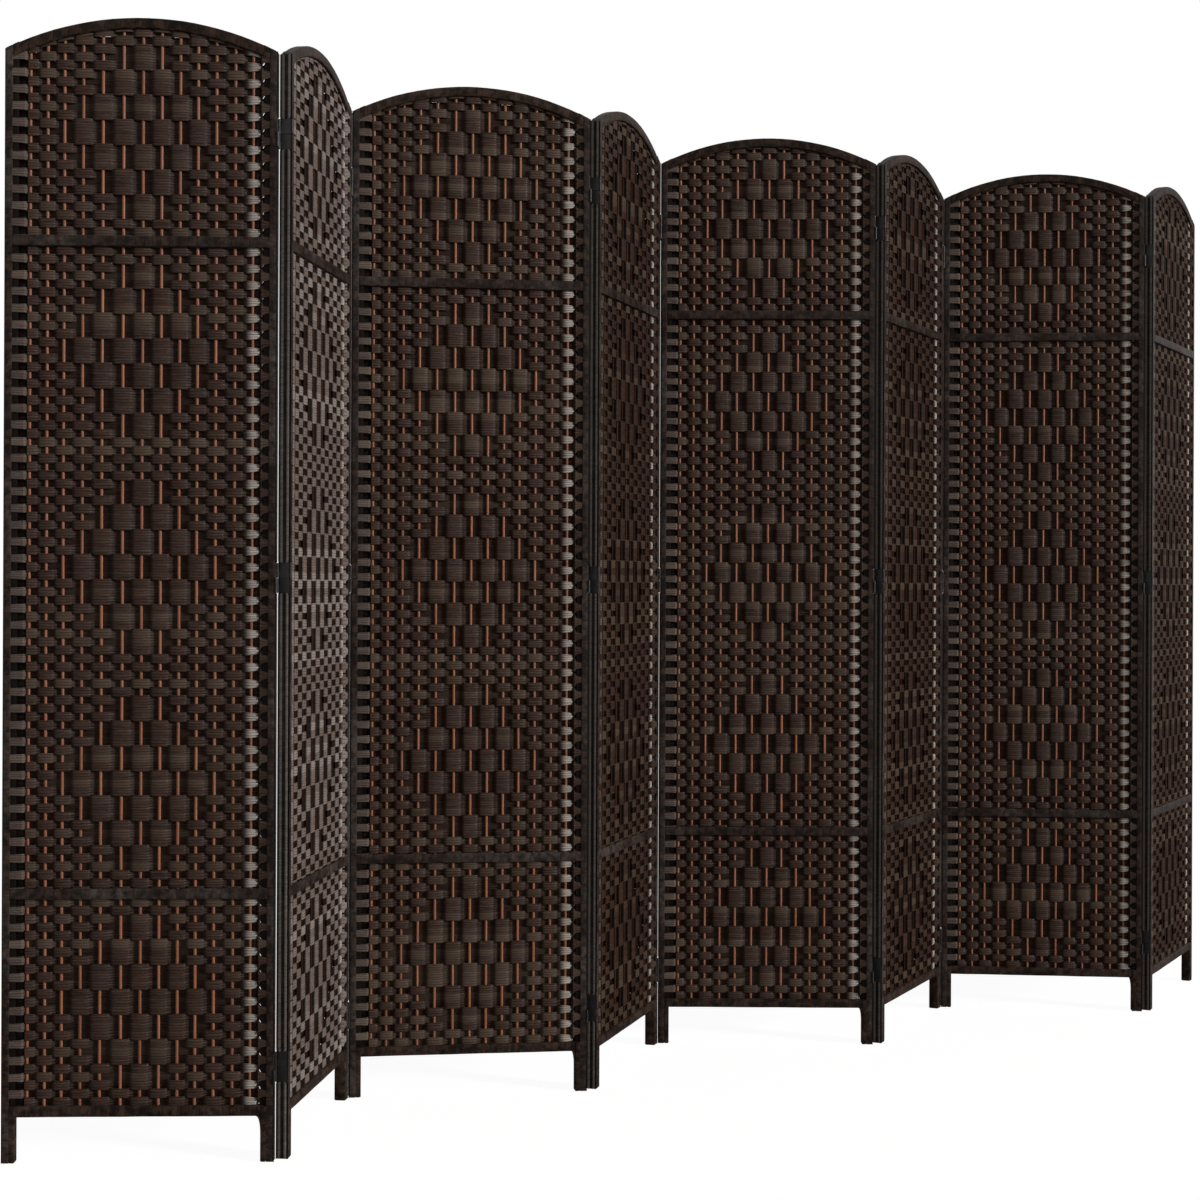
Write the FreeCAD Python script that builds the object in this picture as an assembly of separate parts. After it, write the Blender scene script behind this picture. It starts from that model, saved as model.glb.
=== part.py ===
import FreeCAD, Part
import math
import os

# Folding room divider: eight arched panels of woven paper rope on wooden rods,
# joined by crossed-link screen hinges. Millimetres, Z up. X runs along the
# standing screen, Y points to its back, and the origin is on the floor under
# the middle of its footprint. A panel is drawn with its left end at X = 0 and
# its middle plane at Y = 0, and is then turned into the standing zigzag.

# Whole panel
panel_count = 8
panel_width = 402.0
side_height = 1652.0
arch_rise = 48.0
panel_thickness = 19.0

# Turn at each line of hinges, in degrees. Odd lines fold towards the back.
fold_angles = (81.0, 75.0, 65.0, 74.0, 66.0, 71.0, 69.0)

# Frame
leg_height = 68.0
stile_width = 20.0
core_thickness = 12.0
rail_height = 16.0
rail_thickness = 17.0
leg_fillet_width = 6.0
leg_fillet_height = 24.0

# Strips glued and nailed over the frame
cover_strip_width = 10.0
edge_strip_width = 18.6
# An end without hinges has a narrower strip, past which the barrels of the next line fold
free_strip_width = 15.0
edge_strip_thickness = 1.5
batten_height = 16.0
lower_batten_z = 399.0
upper_batten_z = 1368.0

# Rods and woven mat
rod_margin = 16.5
# How far along from the first rod to the last each rod stands; set by hand, so not quite even
rod_shares = (0.0, 0.077, 0.152, 0.236, 0.324, 0.417, 0.504, 0.588, 0.671, 0.751, 0.834, 0.919, 1.0)
rod_diameter = 4.8
rod_sides = 6
weft_thickness = 1.5
seat_clearance = 0.3

# Hinges
hinge_height = 45.0
low_hinge_z = 138.0
middle_hinge_z = 869.0
top_hinge_drop = 119.0
leaf_width = 14.0
leaf_thickness = 1.2
link_thickness = 1.0
barrel_diameter = 3.6
barrel_sides = 6
pin_diameter = 1.8
pin_clearance = 0.1
barrel_gap = 0.3
barrel_cap = 1.5
# From a panel's face to the axes, which leaves twice as much between the faces of the folded screen
face_clearance = 0.5

# Sizes worked out from the ones above
half_thickness = panel_thickness / 2
half_width = panel_width / 2
arch_radius = (half_width ** 2 + arch_rise ** 2) / (2 * arch_rise)
arch_center_z = side_height + arch_rise - arch_radius
rail_top_z = leg_height + rail_height
first_rod_x = stile_width + rod_margin
rods_reach = panel_width - 2 * first_rod_x
rod_places = [first_rod_x + share * rods_reach for share in rod_shares]
core_end = edge_strip_thickness
cover_strip_thickness = (panel_thickness - core_thickness) / 2
cover_strip_end = core_end + cover_strip_width
barrel_radius = barrel_diameter / 2
axis_x = core_end - barrel_gap - barrel_radius
axis_y = half_thickness + face_clearance
panel_gap = -2 * axis_x
barrel_height = (hinge_height - 3 * barrel_gap) / 4
bore_radius = (pin_diameter / 2 + pin_clearance) / math.cos(math.pi / barrel_sides)
hinge_centers = (low_hinge_z, middle_hinge_z, side_height - top_hinge_drop)


def arch_z(x, depth):
    """Height above X of the arch that lies depth below the outer arch."""
    radius = arch_radius - depth
    return arch_center_z + math.sqrt(radius ** 2 - (x - half_width) ** 2)


def box(x_range, y_range, z_range):
    """Box between three pairs of coordinates."""
    corner = FreeCAD.Vector(x_range[0], y_range[0], z_range[0])
    sizes = [high - low for low, high in (x_range, y_range, z_range)]
    return Part.makeBox(sizes[0], sizes[1], sizes[2], corner)


def upright(edges, thickness):
    """Outline in the XZ plane made solid, with its middle plane at Y = 0."""
    face = Part.Face(Part.Wire(edges))
    face.translate(FreeCAD.Vector(0, -thickness / 2, 0))
    return face.extrude(FreeCAD.Vector(0, thickness, 0))


def line(start, end):
    """Straight edge between two XZ points."""
    first = FreeCAD.Vector(start[0], 0, start[1])
    return Part.LineSegment(first, FreeCAD.Vector(end[0], 0, end[1])).toShape()


def arc(start, middle, end):
    """Round edge through three XZ points."""
    points = [FreeCAD.Vector(x, 0, z) for x, z in (start, middle, end)]
    return Part.Arc(points[0], points[1], points[2]).toShape()


def arch_edge(x_start, x_end, depth):
    """Edge along the arch that lies depth below the outer arch."""
    places = (x_start, (x_start + x_end) / 2, x_end)
    points = [(x, arch_z(x, depth)) for x in places]
    return arc(points[0], points[1], points[2])


def prism(sides, radius, x, y, z_low, z_high):
    """Upright prism with one corner on the +X side of its axis."""
    corners = []
    for i in range(sides + 1):
        angle = 2 * math.pi * i / sides
        corner_x = x + radius * math.cos(angle)
        corners.append(FreeCAD.Vector(corner_x, y + radius * math.sin(angle), z_low))
    face = Part.Face(Part.makePolygon(corners))
    return face.extrude(FreeCAD.Vector(0, 0, z_high - z_low))


def below_arch(x_start, x_end, thickness):
    """Narrow upright board from the floor, its top cut to the slope of the arch."""
    corners = [(x_start, 0), (x_start, arch_z(x_start, 0)), (x_end, arch_z(x_end, 0)), (x_end, 0)]
    return upright([line(corners[i - 1], corners[i]) for i in range(len(corners))], thickness)


def stiles():
    """Wooden uprights. Above the leg their inner half is cut back for the mat,
    and the wrapping fills the corner over the right leg."""
    inner = panel_width - stile_width
    left = below_arch(core_end, stile_width, core_thickness)
    left_leg = box((cover_strip_end, stile_width), (-half_thickness, half_thickness), (0, rail_top_z))
    right = below_arch(inner, panel_width - core_end, core_thickness)
    right_leg = left_leg.mirror(FreeCAD.Vector(half_width, 0, 0), FreeCAD.Vector(1, 0, 0))
    corner = (inner, leg_height)
    top = (inner - leg_fillet_width, leg_height)
    foot = (inner, leg_height - leg_fillet_height)
    # The filler's arc runs into the leg without a corner, which sets how far it bows
    sag_share = math.tan(math.atan2(leg_fillet_width, leg_fillet_height) / 2) / 2
    middle_x = (top[0] + foot[0]) / 2 + sag_share * leg_fillet_height
    middle = (middle_x, (top[1] + foot[1]) / 2 + sag_share * leg_fillet_width)
    filler = upright([arc(top, middle, foot), line(foot, corner), line(corner, top)], rail_thickness)
    right = right.fuse(right_leg).fuse(filler)
    return [left.fuse(left_leg).removeSplitter(), right.removeSplitter()]


def rails():
    """Straight bottom rail and arched top rail between the stiles."""
    start = stile_width
    end = panel_width - stile_width
    half = rail_thickness / 2
    bottom = box((start, end), (-half, half), (leg_height, rail_top_z))
    edges = [
        arch_edge(start, end, 0),
        line((end, arch_z(end, 0)), (end, arch_z(end, rail_height))),
        arch_edge(end, start, rail_height),
        line((start, arch_z(start, rail_height)), (start, arch_z(start, 0))),
    ]
    return [bottom, upright(edges, rail_thickness)]


def cover_strips():
    """Strips over the outer half of each stile, front and back."""
    strips = []
    for x_start in (core_end, panel_width - cover_strip_end):
        for y_side in (-1, 1):
            strip = below_arch(x_start, x_start + cover_strip_width, cover_strip_thickness)
            offset = y_side * (core_thickness + cover_strip_thickness) / 2
            strip.translate(FreeCAD.Vector(0, offset, 0))
            strips.append(strip)
    return strips


def battens():
    """Flat cross battens that hold the mat down, front and back."""
    pieces = []
    x_range = (cover_strip_end, panel_width - cover_strip_end)
    inner = core_thickness / 2
    for center in (lower_batten_z, upper_batten_z):
        z_range = (center - batten_height / 2, center + batten_height / 2)
        pieces.append(box(x_range, (-half_thickness, -inner), z_range))
        pieces.append(box(x_range, (inner, half_thickness), z_range))
    return pieces


def edge_strips(at_right, hinged):
    """Strips along one end of a panel, broken where its hinges are."""
    x_range = (0, core_end)
    if at_right:
        x_range = (panel_width - core_end, panel_width)
    half = free_strip_width / 2
    breaks = []
    if hinged:
        half = edge_strip_width / 2
        reach = hinge_height / 2 + barrel_gap
        breaks = [(center - reach, center + reach) for center in hinge_centers]
    pieces = []
    z_low = 0
    for break_low, break_high in breaks + [(side_height, side_height)]:
        pieces.append(box(x_range, (-half, half), (z_low, break_low)))
        z_low = break_high
    return pieces


def rods():
    """Upright rods that the mat is woven on, from rail to rail."""
    pieces = []
    radius = rod_diameter / 2
    for x in rod_places:
        far_side = x + math.copysign(radius, x - half_width)
        top = arch_z(far_side, rail_height) - seat_clearance
        pieces.append(prism(rod_sides, radius, x, 0, rail_top_z, top))
    return pieces


def mat():
    """Woven mat as one waved sheet that passes each rod on the other side."""
    crest = rod_diameter / 2 + seat_clearance + weft_thickness / 2
    center_line = [(stile_width, 0)]
    for i, x in enumerate(rod_places):
        center_line.append((x, crest * (-1) ** i))
    center_line.append((panel_width - stile_width, 0))
    half = weft_thickness / 2
    front = [FreeCAD.Vector(x, y - half, rail_top_z) for x, y in center_line]
    back = [FreeCAD.Vector(x, y + half, rail_top_z) for x, y in reversed(center_line)]
    outline = Part.makePolygon(front + back + front[:1])
    rise = side_height + arch_rise - rail_top_z
    sheet = Part.Face(outline).extrude(FreeCAD.Vector(0, 0, rise))
    depth = rail_height + seat_clearance
    tops = [(x, arch_z(x, depth)) for x, y in center_line]
    corners = [(tops[0][0], rail_top_z)] + tops + [(tops[-1][0], rail_top_z)]
    edges = [line(corners[i - 1], corners[i]) for i in range(len(corners))]
    return sheet.common(upright(edges, panel_thickness)).removeSplitter()


def barrel_levels(center):
    """Lowest point of the four barrel levels of the hinge at this height."""
    foot = center - hinge_height / 2
    return [foot + i * (barrel_height + barrel_gap) for i in range(4)]


def hinge_leaf(at_right, center):
    """Leaf on the end of a stile, with one bored knuckle at each face."""
    levels = barrel_levels(center)
    top_z = levels[3] + barrel_height
    half = leaf_width / 2
    outline = [
        (-half, top_z), (axis_y, top_z), (axis_y, levels[3]), (half, levels[3]), (half, levels[0]),
        (-axis_y, levels[0]), (-axis_y, levels[0] + barrel_height), (-half, levels[0] + barrel_height),
    ]
    x_plate = core_end - leaf_thickness
    points = [FreeCAD.Vector(x_plate, y, z) for y, z in outline]
    leaf = Part.Face(Part.makePolygon(points + points[:1])).extrude(FreeCAD.Vector(leaf_thickness, 0, 0))
    bore_depth = barrel_height - barrel_cap
    upper_bore = (levels[3], levels[3] + bore_depth)
    lower_bore = (levels[0] + barrel_cap, levels[0] + barrel_height)
    for y, z_low, bore in ((axis_y, levels[3], upper_bore), (-axis_y, levels[0], lower_bore)):
        leaf = leaf.fuse(prism(barrel_sides, barrel_radius, axis_x, y, z_low, z_low + barrel_height))
        leaf = leaf.cut(prism(barrel_sides, bore_radius, axis_x, y, bore[0], bore[1]))
    leaf = leaf.removeSplitter()
    if at_right:
        leaf = leaf.mirror(FreeCAD.Vector(half_width, 0, 0), FreeCAD.Vector(1, 0, 0))
    else:
        leaf = leaf.mirror(FreeCAD.Vector(0, 0, 0), FreeCAD.Vector(0, 1, 0))
    return leaf


def hinge_link(at_right, upper, center):
    """Link that crosses the gap, with a barrel and a pin at each face."""
    x = panel_width - axis_x if at_right else axis_x
    level = barrel_levels(center)[2 if upper else 1]
    z_range = (level, level + barrel_height)
    half = link_thickness / 2
    link = box((x - half, x + half), (-axis_y, axis_y), z_range)
    pin_reach = barrel_height - barrel_cap
    pin_range = (level, level + barrel_height + pin_reach)
    if not upper:
        pin_range = (level - pin_reach, level + barrel_height)
    for y in (-axis_y, axis_y):
        link = link.fuse(prism(barrel_sides, barrel_radius, x, y, z_range[0], z_range[1]))
        link = link.fuse(prism(barrel_sides, pin_diameter / 2, x, y, pin_range[0], pin_range[1]))
    return link.removeSplitter()


def leaves_of(panel):
    """All hinge leaves screwed to one panel."""
    pieces = []
    for center in hinge_centers:
        if panel > 1:
            pieces.append(hinge_leaf(False, center))
        if panel < panel_count:
            pieces.append(hinge_leaf(True, center))
    return pieces


def links_of(panel):
    """Links that stay with one panel when its lines of hinges fold."""
    pieces = []
    for center in hinge_centers:
        if panel > 1:
            line_number = panel - 1
            pieces.append(hinge_link(False, line_number % 2 == 1, center))
        if panel < panel_count:
            pieces.append(hinge_link(True, panel % 2 == 0, center))
    return pieces


def standing_places():
    """Place of each panel in the zigzag, with both free ends level in Y."""
    headings = [0.0]
    for i, angle in enumerate(fold_angles):
        headings.append(headings[-1] + angle * (-1) ** i)
    places = [FreeCAD.Placement()]
    for i in range(1, panel_count):
        side = axis_y * (-1) ** (i - 1)
        leaving = FreeCAD.Vector(panel_width - axis_x, side, 0)
        entering = FreeCAD.Vector(axis_x, side, 0)
        turn = FreeCAD.Rotation(FreeCAD.Vector(0, 0, 1), headings[i])
        axis = places[-1].multVec(leaving)
        places.append(FreeCAD.Placement(axis - turn.multVec(entering), turn))
    far_end = places[-1].multVec(FreeCAD.Vector(panel_width, 0, 0))
    level = FreeCAD.Rotation(FreeCAD.Vector(0, 0, 1), -math.degrees(math.atan2(far_end.y, far_end.x)))
    leveled = FreeCAD.Placement(FreeCAD.Vector(0, 0, 0), level)
    return [leveled.multiply(place) for place in places]


def panel_nodes(panel):
    """Solids of one panel by node name, in the panel's own place."""
    trim = cover_strips() + battens()
    trim += edge_strips(False, panel > 1)
    trim += edge_strips(True, panel < panel_count)
    prefix = "panel_%d_" % panel
    return {
        prefix + "stiles": stiles(),
        prefix + "rails": rails(),
        prefix + "trim_strips": trim,
        prefix + "rods": rods(),
        prefix + "woven_mat": [mat()],
        prefix + "hinge_leaves": leaves_of(panel),
        prefix + "hinge_links": links_of(panel),
    }


def standing_nodes():
    """Solids of the whole screen by node name, centred over the origin."""
    nodes = {}
    for i, place in enumerate(standing_places()):
        for name, solids in panel_nodes(i + 1).items():
            nodes[name] = Part.makeCompound([s.transformed(place.Matrix, True) for s in solids])
    reach = FreeCAD.BoundBox()
    for shape in nodes.values():
        reach.add(shape.BoundBox)
    shift = FreeCAD.Vector(-reach.Center.x, -reach.Center.y, 0)
    for shape in nodes.values():
        shape.translate(shift)
    print("size", round(reach.XLength, 2), round(reach.YLength, 2), round(reach.ZMax, 2))
    print_axes(shift)
    return nodes


def print_axes(shift):
    """Where each line of hinges turns and some feet stand, in the frame of the whole screen."""
    places = standing_places()
    for i, place in enumerate(places[:-1]):
        side = axis_y * (-1) ** i
        axis = place.multVec(FreeCAD.Vector(panel_width - axis_x, side, 0)) + shift
        print("line", i + 1, "turns at", round(axis.x, 4), round(axis.y, 4))
    foot_x = (core_end + stile_width) / 2
    feet = {
        "left": places[0].multVec(FreeCAD.Vector(foot_x, 0, 0)) + shift,
        "middle": places[panel_count // 2 - 1].multVec(FreeCAD.Vector(panel_width - foot_x, 0, 0)) + shift,
        "right": places[-1].multVec(FreeCAD.Vector(panel_width - foot_x, 0, 0)) + shift,
    }
    for name, foot in feet.items():
        print("foot", name, "at", round(foot.x, 4), round(foot.y, 4))


def export_all():
    """One file per node."""
    os.makedirs("parts", exist_ok=True)
    for name, shape in standing_nodes().items():
        shape.exportStep("parts/%s.step" % name)


export_all()
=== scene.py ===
import math
import bpy
import numpy as np
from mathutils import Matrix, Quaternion, Vector


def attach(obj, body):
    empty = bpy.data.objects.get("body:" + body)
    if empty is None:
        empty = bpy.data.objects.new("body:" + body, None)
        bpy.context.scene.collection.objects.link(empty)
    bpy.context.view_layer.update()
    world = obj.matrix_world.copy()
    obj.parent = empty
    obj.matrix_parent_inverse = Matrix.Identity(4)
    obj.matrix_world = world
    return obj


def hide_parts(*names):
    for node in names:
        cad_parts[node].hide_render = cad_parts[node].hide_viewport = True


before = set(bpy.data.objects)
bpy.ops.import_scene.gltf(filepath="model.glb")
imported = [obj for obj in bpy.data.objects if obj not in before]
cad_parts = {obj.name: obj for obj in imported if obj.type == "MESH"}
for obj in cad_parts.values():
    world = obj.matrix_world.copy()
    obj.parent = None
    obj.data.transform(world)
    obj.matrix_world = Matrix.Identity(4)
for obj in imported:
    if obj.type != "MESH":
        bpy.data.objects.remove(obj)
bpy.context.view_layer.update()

# Folding screen: eight arched panels of dark paper rope woven on brown rods, standing in a zigzag.
# Every piece is worked out flat, in millimetres, on one panel: x from its left end, y to its back,
# z up. It is then set into the standing panel, in metres. Sizes with no unit in their note are millimetres.
mm = 0.001
chance = np.random.default_rng(1907)

panel = {
    "count": 8, "width": 402.0, "sideHeight": 1652.0, "archRise": 48.0, "halfThickness": 9.5,
    "stile": 20.0, "coreHalf": 6.0, "coreEnd": 1.5, "coverEnd": 11.5, "railBottom": 68.0, "railTop": 84.0,
    "rodShares": (0.0, 0.077, 0.152, 0.236, 0.324, 0.417, 0.504, 0.588, 0.671, 0.751, 0.834, 0.919, 1.0),
    "firstRod": 36.5,
}
archRadius = ((panel["width"] / 2) ** 2 + panel["archRise"] ** 2) / (2 * panel["archRise"])
archCentre = panel["sideHeight"] + panel["archRise"] - archRadius
rodX = panel["firstRod"] + np.array(panel["rodShares"]) * (panel["width"] - 2 * panel["firstRod"])


# Height of the arch that lies depth below the outer one, at x
def archZ(x, depth=0.0):
    return archCentre + np.sqrt((archRadius - depth) ** 2 - (x - panel["width"] / 2) ** 2)


# Where a panel stands: the middle of its rails, their long direction and the way to its back
def standingPlace(number):
    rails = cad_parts["panel_%d_rails" % number].data
    flat = np.empty(len(rails.vertices) * 3)
    rails.vertices.foreach_get("co", flat)
    flat = flat.reshape(-1, 3)[:, :2]
    along = np.linalg.eigh(np.cov((flat - flat.mean(0)).T))[1][:, 1]
    along = along * np.sign(along[0])
    toBack = np.array([-along[1], along[0]])
    reach = flat @ np.stack([along, toBack], 1)
    middle = (reach.min(0) + reach.max(0)) / 2
    return middle[0] * along + middle[1] * toBack, along, toBack


places = {number: standingPlace(number) for number in range(1, panel["count"] + 1)}
print("panels found:", {number: np.round(place[0], 3).tolist() for number, place in places.items()})


# Smooth wavering of a hand-made line: a few sines of random phase, of about the given size
def waver(x, size, period, seeds):
    seeds = np.atleast_1d(seeds)[:, None]
    x = np.asarray(x)[None, :]
    total = np.zeros(np.broadcast_shapes(seeds.shape, x.shape))
    for step, share in ((1.0, 0.5), (1.73, 0.3), (2.91, 0.2)):
        total = total + share * np.sin(2 * math.pi * (x * step / period + seeds * step * 7.31))
    return size * total


# Skin over rings of points: rings is (strands, stations, around, 3). Each ring runs once round its
# strand, neighbouring rings are joined with quads, and the first and last are closed with one face.
# Its map has u along the strand and v round it, both in metres. The last two arrays, if given, say for each
# point how much painted highlight it takes and how far in a hollow it lies, which is painted as shade.
def skin(rings, tones=None, wearAndHighlight=None, deep=None):
    rings = np.asarray(rings, float)
    strands, stations, around = rings.shape[:3]
    index = np.arange(strands * stations * around).reshape(strands, stations, around)
    beside = np.roll(index, -1, axis=2)
    quads = np.stack([index[:, :-1], beside[:, :-1], beside[:, 1:], index[:, 1:]], -1).reshape(-1, 4)
    caps = np.concatenate([index[:, 0, ::-1], index[:, -1]])
    middle = rings.mean(2)
    u = np.zeros((strands, stations))
    u[:, 1:] = np.cumsum(np.linalg.norm(np.diff(middle, axis=1), axis=2), 1)
    wide = rings[:, stations // 2]
    v = np.zeros((strands, around + 1))
    v[:, 1:] = np.cumsum(np.linalg.norm(np.roll(wide, -1, axis=1) - wide, axis=2), 1)
    uAll = np.broadcast_to(u[:, :, None], (strands, stations, around + 1))
    vAll = np.broadcast_to(v[:, None, :], (strands, stations, around + 1))
    lay = np.stack([uAll, vAll], -1) * mm
    corners = np.stack([lay[:, :-1, :-1], lay[:, :-1, 1:], lay[:, 1:, 1:], lay[:, 1:, :-1]], 3)
    ends = np.concatenate([lay[:, 0, -2::-1], lay[:, -1, :-1]])
    if tones is None:
        tones = chance.random(strands)
    part = {
        "points": rings.reshape(-1, 3), "faces": [quads, caps],
        "lay": [corners.reshape(-1, 2), ends.reshape(-1, 2)],
        "tone": np.repeat(tones, stations * around),
        "wearAndHighlight": np.zeros(rings.size // 3) if wearAndHighlight is None else wearAndHighlight.ravel(),
        "deep": np.zeros(rings.size // 3) if deep is None else deep.ravel(),
    }
    return outward(part)


# Turns every face round where the solid's signed volume comes out negative
def outward(part):
    points = part["points"]
    quads = part["faces"][0]
    first, second, third, fourth = (points[quads[:, i]] for i in range(4))
    volume = (np.cross(first, second) * third).sum() + (np.cross(first, third) * fourth).sum()
    caps = part["faces"][1]
    for i in range(1, caps.shape[1] - 1):
        volume += (np.cross(points[caps[:, 0]], points[caps[:, i]]) * points[caps[:, i + 1]]).sum()
    if volume < 0:
        part["faces"] = [f[:, ::-1] for f in part["faces"]]
        part["lay"] = [lay.reshape(len(f), -1, 2)[:, ::-1].reshape(-1, 2)
                       for lay, f in zip(part["lay"], part["faces"])]
    return part


# One object from parts: points set into the standing panel, faces smooth but for sharp corners
def makePiece(name, number, kind, parts, material, sharp=40.0):
    middle, along, toBack = places[number]
    points = np.concatenate([p["points"] for p in parts])
    flat = middle + ((points[:, :1] - panel["width"] / 2) * along + points[:, 1:2] * toBack) * mm
    points = np.concatenate([flat, points[:, 2:] * mm], 1)
    shifts = np.cumsum([0] + [len(p["points"]) for p in parts])
    faces = [f + shift for p, shift in zip(parts, shifts) for f in p["faces"]]
    lay = np.concatenate([chunk for p in parts for chunk in p["lay"]])
    mesh = bpy.data.meshes.new(name)
    mesh.vertices.add(len(points))
    mesh.vertices.foreach_set("co", points.ravel())
    corners = np.concatenate([f.ravel() for f in faces])
    sizes = np.concatenate([np.full(len(f), f.shape[1]) for f in faces])
    mesh.loops.add(len(corners))
    mesh.loops.foreach_set("vertex_index", corners)
    mesh.polygons.add(len(sizes))
    mesh.polygons.foreach_set("loop_start", np.concatenate([[0], np.cumsum(sizes)[:-1]]))
    mesh.polygons.foreach_set("use_smooth", np.ones(len(sizes), bool))
    mesh.uv_layers.new(name="lay").data.foreach_set("uv", lay.ravel())
    for title in ("tone", "wearAndHighlight", "deep"):
        values = np.concatenate([p[title] for p in parts])
        mesh.attributes.new(title, "FLOAT", "POINT").data.foreach_set("value", values)
    mesh.update(calc_edges=True)
    mesh.validate()
    mesh.set_sharp_from_angle(angle=math.radians(sharp))
    mesh.materials.append(material)
    piece = bpy.data.objects.new(name, mesh)
    bpy.context.collection.objects.link(piece)
    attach(piece, "panel_%d" % number)
    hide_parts("panel_%d_%s" % (number, kind))
    return piece


# Outline of a board's cross section, with its four corners rounded by quarter circles: each point is
# the corner's own centre plus its radius times cosine and sine. radii may differ along the board.
def roundedOutline(low, high, radii, steps=3):
    radii = np.broadcast_arrays(*[np.atleast_1d(r).astype(float) for r in radii])
    signs = ((-1, -1), (1, -1), (1, 1), (-1, 1))
    outline = []
    for i, (side, face) in enumerate(signs):
        cornerX = high[0] if side > 0 else low[0]
        cornerY = high[1] if face > 0 else low[1]
        for step in range(steps + 1):
            angle = math.pi * (1.0 + i / 2) + math.pi / 2 * step / steps
            x = cornerX - side * radii[i] + radii[i] * math.cos(angle)
            y = cornerY - face * radii[i] + radii[i] * math.sin(angle)
            outline.append(np.stack([x, y], -1))
    return np.stack(outline, 1)


# Outlines of a board drawn in towards their middle by an inset for each station
def drawnIn(outline, insets):
    middle = (outline.min(1, keepdims=True) + outline.max(1, keepdims=True)) / 2
    half = (outline.max(1, keepdims=True) - outline.min(1, keepdims=True)) / 2
    insets = np.asarray(insets)[:, None, None]
    return middle + (outline - middle) * (1 - insets / np.maximum(half, 1e-6))


# Stations along a board and the inset at each: close together at its ends, which round off within the
# radius in two straight steps
def stationsAlong(length, radius, spacing):
    inner = np.linspace(radius, length - radius, max(2, int(length / spacing)))
    way = np.concatenate([[0.0, radius * 0.3], inner, [length - radius * 0.3, length]])
    inset = np.concatenate([[radius, radius * 0.29], np.zeros(len(inner)), [radius * 0.29, radius]])
    return way, inset


# Rings of one strand from three arrays of coordinates, spread to the same shape
def ringsOf(x, y, z):
    return np.stack(np.broadcast_arrays(x, y, z), -1)[None]


# Rings mirrored about the middle of the panel's width
def mirrored(rings):
    return rings * np.array([-1.0, 1.0, 1.0]) + np.array([panel["width"], 0.0, 0.0])


# Node group whose inputs are given with their values, None for a vector, and whose outputs are all floats
def newGroup(name, inputs, outputs):
    group = bpy.data.node_groups.new(name, "ShaderNodeTree")
    for title, value in inputs.items():
        kind = "NodeSocketVector" if value is None else "NodeSocketFloat"
        socket = group.interface.new_socket(title, in_out="INPUT", socket_type=kind)
        if value is not None:
            socket.default_value = value
    for title in outputs:
        group.interface.new_socket(title, in_out="OUTPUT", socket_type="NodeSocketFloat")
    return group, group.nodes.new("NodeGroupInput"), group.nodes.new("NodeGroupOutput")


# Helper around a node tree, so that each node of a chain takes one line
class Tree:
    def __init__(self, tree):
        self.tree = tree

    def put(self, kind, inputs=(), **settings):
        node = self.tree.nodes.new(kind)
        for key, value in settings.items():
            setattr(node, key, value)
        for key, value in dict(inputs).items():
            if isinstance(value, bpy.types.NodeSocket):
                self.tree.links.new(value, node.inputs[key])
            else:
                node.inputs[key].default_value = value
        return node

    def math(self, operation, first, second=0.0, third=0.0):
        return self.put("ShaderNodeMath", {0: first, 1: second, 2: third}, operation=operation).outputs[0]

    def times(self, first, second):
        return self.math("MULTIPLY", first, second)

    def plus(self, first, second):
        return self.math("ADD", first, second)

    def minus(self, first, second):
        return self.math("SUBTRACT", first, second)

    # two lengths in metres as a vector, each times its number of noise cells to the metre
    def stretched(self, along, across, cells):
        return self.put("ShaderNodeCombineXYZ", {0: self.times(along, cells[0]),
                                                 1: self.times(across, cells[1])}).outputs[0]

    def attribute(self, name):
        return self.put("ShaderNodeAttribute", attribute_name=name).outputs["Fac"]

    def mix(self, share, first, second):
        return self.put("ShaderNodeMix", {0: share, 6: first, 7: second}, data_type="RGBA").outputs[2]

    def noise(self, vector, scale, detail=2.0, w=0.0, roughness=0.5):
        inputs = {"Vector": vector, "W": w, "Scale": scale, "Detail": detail, "Roughness": roughness}
        return self.put("ShaderNodeTexNoise", inputs, noise_dimensions="4D").outputs[0]

    def ramp(self, value, low, high):
        return self.put("ShaderNodeMapRange", {0: value, 1: low, 2: high}, clamp=True).outputs[0]

    def link(self, source, target):
        self.tree.links.new(source, target)


# Paper rope: strands laid side by side, each twisted from fine fibre. A strand's height is the sine of the
# way across it, and the fibre is noise drawn out along the strand and slanted by the twist
def paperStrands():
    group, given, result = newGroup(
        "paperStrands", {"Lay": None, "Tone": 0.5, "Strand Width": 0.004, "Twist": 0.6},
        ("Height", "Groove", "Fibre", "Blotch"))
    t = Tree(group)
    split = t.put("ShaderNodeSeparateXYZ", {0: given.outputs["Lay"]})
    along, across = split.outputs[0], split.outputs[1]
    seed = t.times(given.outputs["Tone"], 61.0)
    drift = t.times(t.minus(t.noise(given.outputs["Lay"], 60.0, 1.0, seed), 0.5), 0.0016)
    strand = t.math("DIVIDE", t.plus(across, drift), given.outputs["Strand Width"])
    lobe = t.math("ABSOLUTE", t.math("SINE", t.times(strand, math.pi)))
    slanted = t.plus(across, t.times(along, given.outputs["Twist"]))
    fibre = t.noise(t.stretched(along, slanted, (160.0, 1500.0)), 1.0, 3.0, seed, 0.6)
    streak = t.noise(t.stretched(along, across, (36.0, 520.0)), 1.0, 2.0, seed)
    height = t.plus(t.times(t.math("POWER", lobe, 0.6), 0.62), t.times(fibre, 0.38))
    t.link(height, result.inputs["Height"])
    t.link(t.math("POWER", t.minus(1.0, lobe), 2.2), result.inputs["Groove"])
    t.link(t.ramp(t.plus(t.times(fibre, 0.5), t.times(streak, 0.5)), 0.3, 0.72), result.inputs["Fibre"])
    t.link(t.ramp(t.noise(given.outputs["Lay"], 24.0, 2.0, seed), 0.32, 0.68), result.inputs["Blotch"])
    return group


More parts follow.
